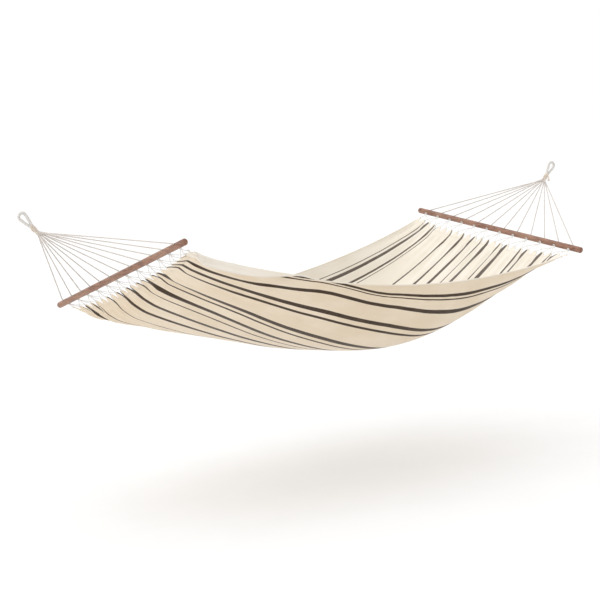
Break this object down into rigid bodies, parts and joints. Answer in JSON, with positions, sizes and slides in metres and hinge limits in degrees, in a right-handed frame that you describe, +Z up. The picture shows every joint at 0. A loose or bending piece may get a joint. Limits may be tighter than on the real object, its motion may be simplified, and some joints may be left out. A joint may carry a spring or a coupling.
{
  "type": "spreader bar hammock",
  "caption": "Striped cloth hammock laced between two wooden spreader bars, with fans of suspension cord ending in two wrapped rope eyes.",
  "frame": {"origin": "the point where a hook bears inside the left eye", "axes": "+X runs level from the left eye's bearing point to the right one's, +Y is the far side of the bed and +Z is up as it hangs"},
  "size_m": [3.2931, 1.2664, 0.9104],
  "materials": {
    "cord_cream": "matte",
    "wrap_tan": "matte",
    "cord_white": "matte",
    "bar_wood": "satin",
    "cloth": "matte"
  },
  "bodies": {
    "left_eye": {"left_eye_loop": "cord_cream", "left_whipping": "wrap_tan"},
    "bed": {"hammock_cloth": "cloth", "near_hem_cord": "cloth", "far_hem_cord": "cloth", "left_cloth_loops": "cord_white", "right_cloth_loops": "cord_white"},
    "left_bar": {"left_spreader_bar": "bar_wood", "left_cord_gather": "cord_cream", "left_cord_1": "cord_cream", "left_cord_2": "cord_cream", "left_cord_3": "cord_cream", "left_cord_4": "cord_cream", "left_cord_5": "cord_cream", "left_cord_6": "cord_cream", "left_cord_7": "cord_cream", "left_cord_8": "cord_cream", "left_cord_9": "cord_cream", "left_cord_10": "cord_cream", "left_cord_11": "cord_cream", "left_cord_12": "cord_cream", "left_stop_knots": "cord_white", "left_net_lower": "cord_white", "left_net_upper": "cord_white"},
    "right_bar": {"right_spreader_bar": "bar_wood", "right_cord_gather": "cord_cream", "right_cord_1": "cord_cream", "right_cord_2": "cord_cream", "right_cord_3": "cord_cream", "right_cord_4": "cord_cream", "right_cord_5": "cord_cream", "right_cord_6": "cord_cream", "right_cord_7": "cord_cream", "right_cord_8": "cord_cream", "right_cord_9": "cord_cream", "right_cord_10": "cord_cream", "right_cord_11": "cord_cream", "right_cord_12": "cord_cream", "right_stop_knots": "cord_white", "right_net_lower": "cord_white", "right_net_upper": "cord_white"},
    "right_eye": {"right_eye_loop": "cord_cream", "right_whipping": "wrap_tan"}
  },
  "joints": [
    {"name": "swing", "type": "hinge", "parent": "left_eye", "child": "bed", "pos_m": [0.06895, 0, -0.08826], "axis": [1, 0, 0], "range_deg": [-35, 35]},
    {"name": "left_bar_roll", "type": "hinge", "parent": "bed", "child": "left_bar", "pos_m": [0.06895, 0, -0.08826], "axis": [0.8339, 0, -0.5519], "range_deg": [-15, 15]},
    {"name": "right_bar_roll", "type": "hinge", "parent": "bed", "child": "right_bar", "pos_m": [3.18895, 0, -0.08826], "axis": [-0.8339, 0, -0.5519], "range_deg": [-15, 15]},
    {"name": "right_eye_turn", "type": "hinge", "parent": "bed", "child": "right_eye", "pos_m": [3.18895, 0, -0.08826], "axis": [1, 0, 0], "range_deg": [-35, 35]}
  ],
  "couplings": [
    {"joint": "right_eye_turn", "follows": "swing", "ratio": -1}
  ]
}
